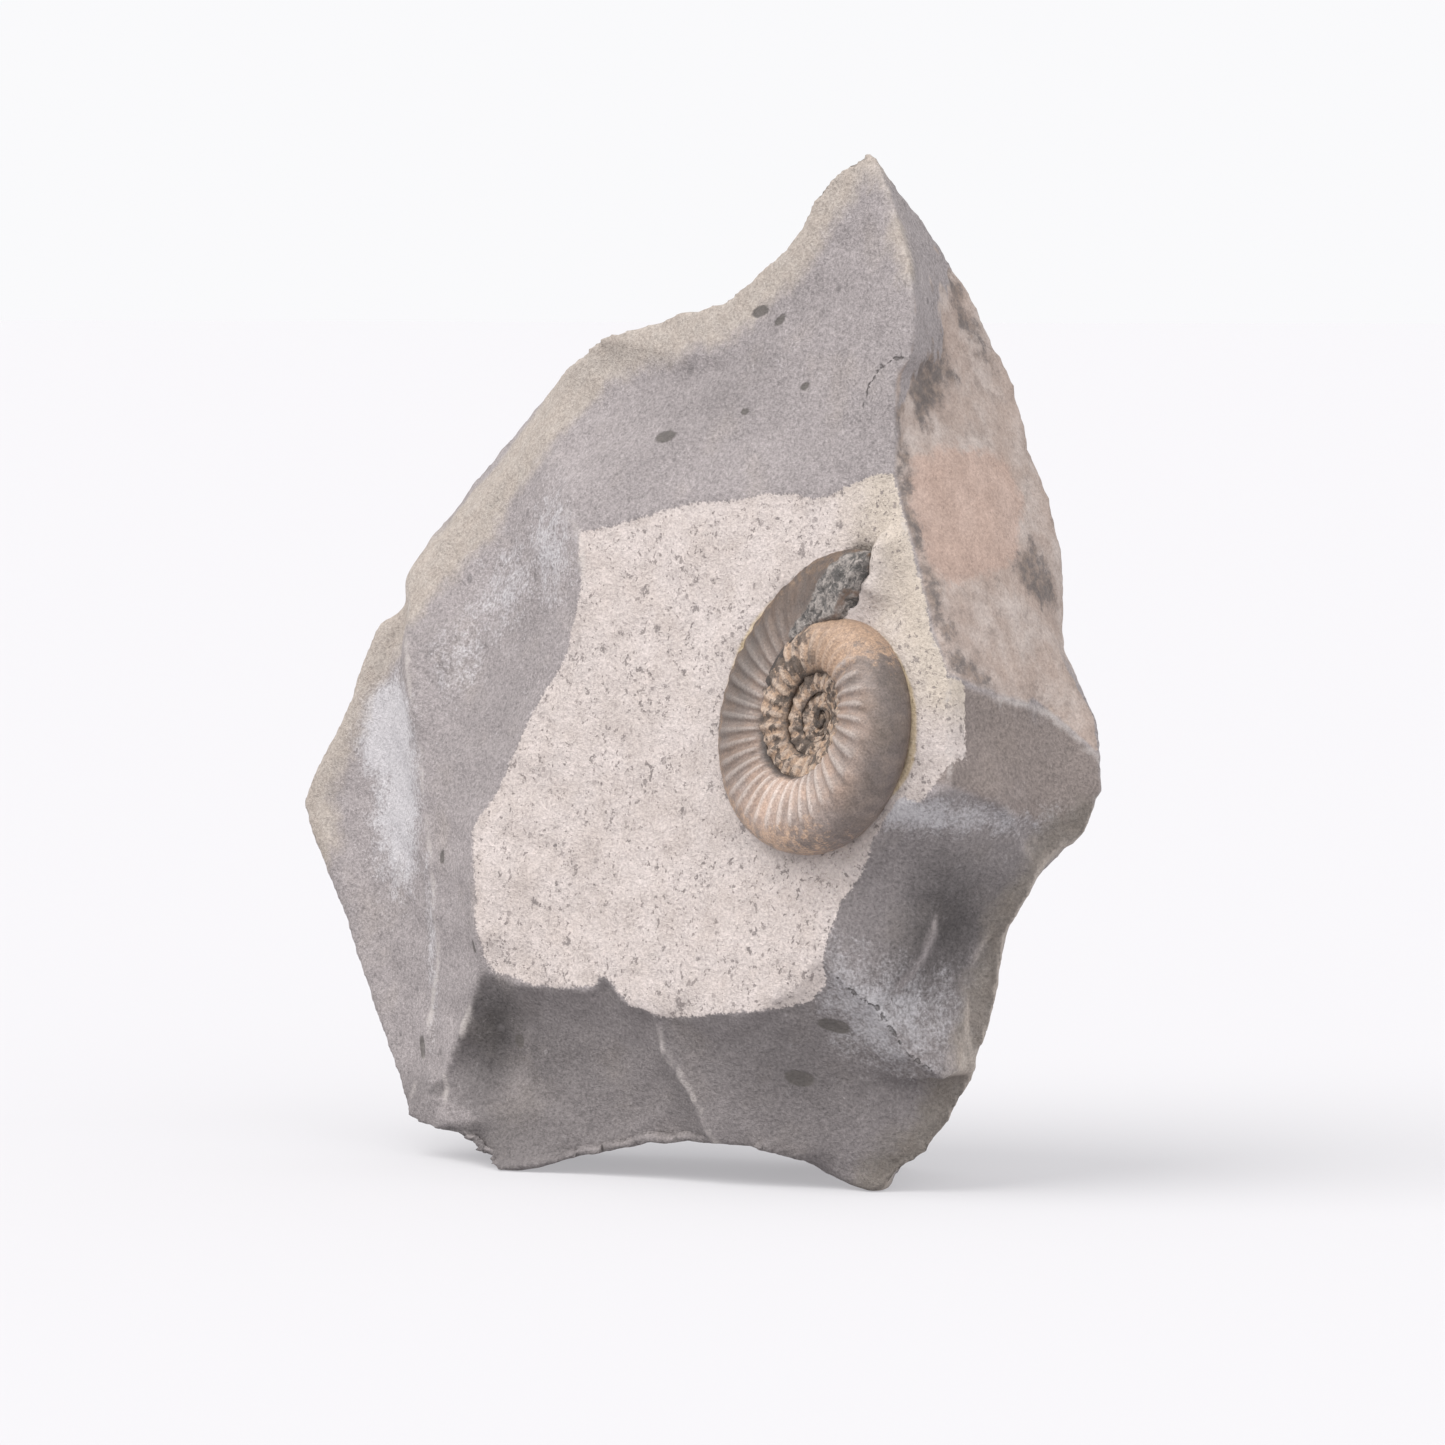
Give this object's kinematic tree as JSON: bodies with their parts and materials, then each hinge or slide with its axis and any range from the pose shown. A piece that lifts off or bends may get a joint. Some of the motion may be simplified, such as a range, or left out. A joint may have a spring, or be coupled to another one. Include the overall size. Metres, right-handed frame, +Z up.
{
  "type": "ammonite fossil in matrix",
  "caption": "Broken slab of grey mudstone that stands on its edge, with a ribbed ammonite half sunk in the pale patch of its front.",
  "frame": {"origin": "on the ground, below the middle of the object's bounding box", "axes": "+Z up, +X to the right along the front, -Y out of the front that carries the ammonite"},
  "size_m": [0.113, 0.045, 0.1192],
  "materials": {
    "mudstone": "dull broken mudstone, with a pale speckled patch and a brown weathered skin",
    "fossil_shell": "satin brown calcite cast, darker in the seams"
  },
  "bodies": {
    "root": {"matrix_stone": "mudstone", "ammonite_shell": "fossil_shell"}
  },
  "joints": []
}
